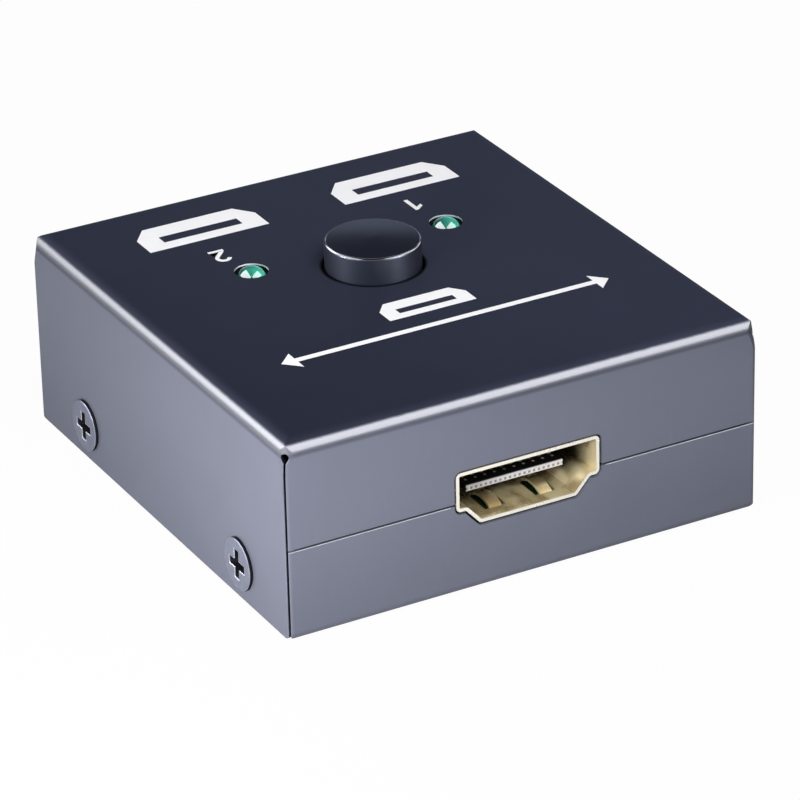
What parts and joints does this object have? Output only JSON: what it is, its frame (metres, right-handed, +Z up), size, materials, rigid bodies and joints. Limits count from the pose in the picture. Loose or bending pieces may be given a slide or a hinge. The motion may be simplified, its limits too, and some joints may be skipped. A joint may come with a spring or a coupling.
{
  "type": "video switch box",
  "caption": "Small folded sheet-metal video switch box with a round push button, green indicator lights and video sockets front and back.",
  "frame": {"origin": "middle of the underside of the case, on the surface that it stands on", "axes": "+X to the right seen from the single socket's face, +Y from that face to the back, +Z up"},
  "size_m": [0.0492, 0.0512, 0.0224],
  "materials": {
    "case_metal": "satin slate grey, darker on the top",
    "screw_metal": "satin grey plating",
    "socket_gold": "pale gold plating",
    "contact_gold": "gold plating",
    "socket_plastic": "moulded black",
    "button_plastic": "satin black",
    "switch_plastic": "moulded dark grey",
    "plunger_plastic": "moulded white",
    "bright_steel": "tinned or plain steel",
    "switch_bronze": "bronze strip",
    "led_green": "clear green epoxy",
    "board_green": "solder mask",
    "chip_black": "moulded black",
    "capacitor_tan": "ceramic"
  },
  "bodies": {
    "case": {"top_cover": "case_metal", "bottom_cover": "case_metal", "case_screws": "screw_metal", "front_socket_shell": "socket_gold", "front_socket_insulator": "socket_plastic", "front_socket_contacts": "contact_gold", "port_1_shell": "socket_gold", "port_1_insulator": "socket_plastic", "port_1_contacts": "contact_gold", "port_2_shell": "socket_gold", "port_2_insulator": "socket_plastic", "port_2_contacts": "contact_gold", "switch_housing": "switch_plastic", "switch_cover": "bright_steel", "switch_spring": "bright_steel", "switch_pins": "bright_steel", "led_1_lens": "led_green", "led_1_leads": "bright_steel", "led_2_lens": "led_green", "led_2_leads": "bright_steel", "circuit_board": "board_green", "board_standoffs": "bright_steel", "board_screws": "bright_steel", "switching_chip": "chip_black", "protection_arrays": "chip_black", "resistors": "chip_black", "capacitors": "capacitor_tan"},
    "button": {"button_cap": "button_plastic", "switch_plunger": "plunger_plastic", "switch_bridge": "switch_bronze"}
  },
  "joints": [
    {"name": "button_press", "type": "slide", "parent": "case", "child": "button", "axis": [0, 0, -1], "range_m": [0, 0.002], "stiffness_N_per_m": 600, "springref_m": -0.002, "deforming": ["switch_spring"]}
  ]
}
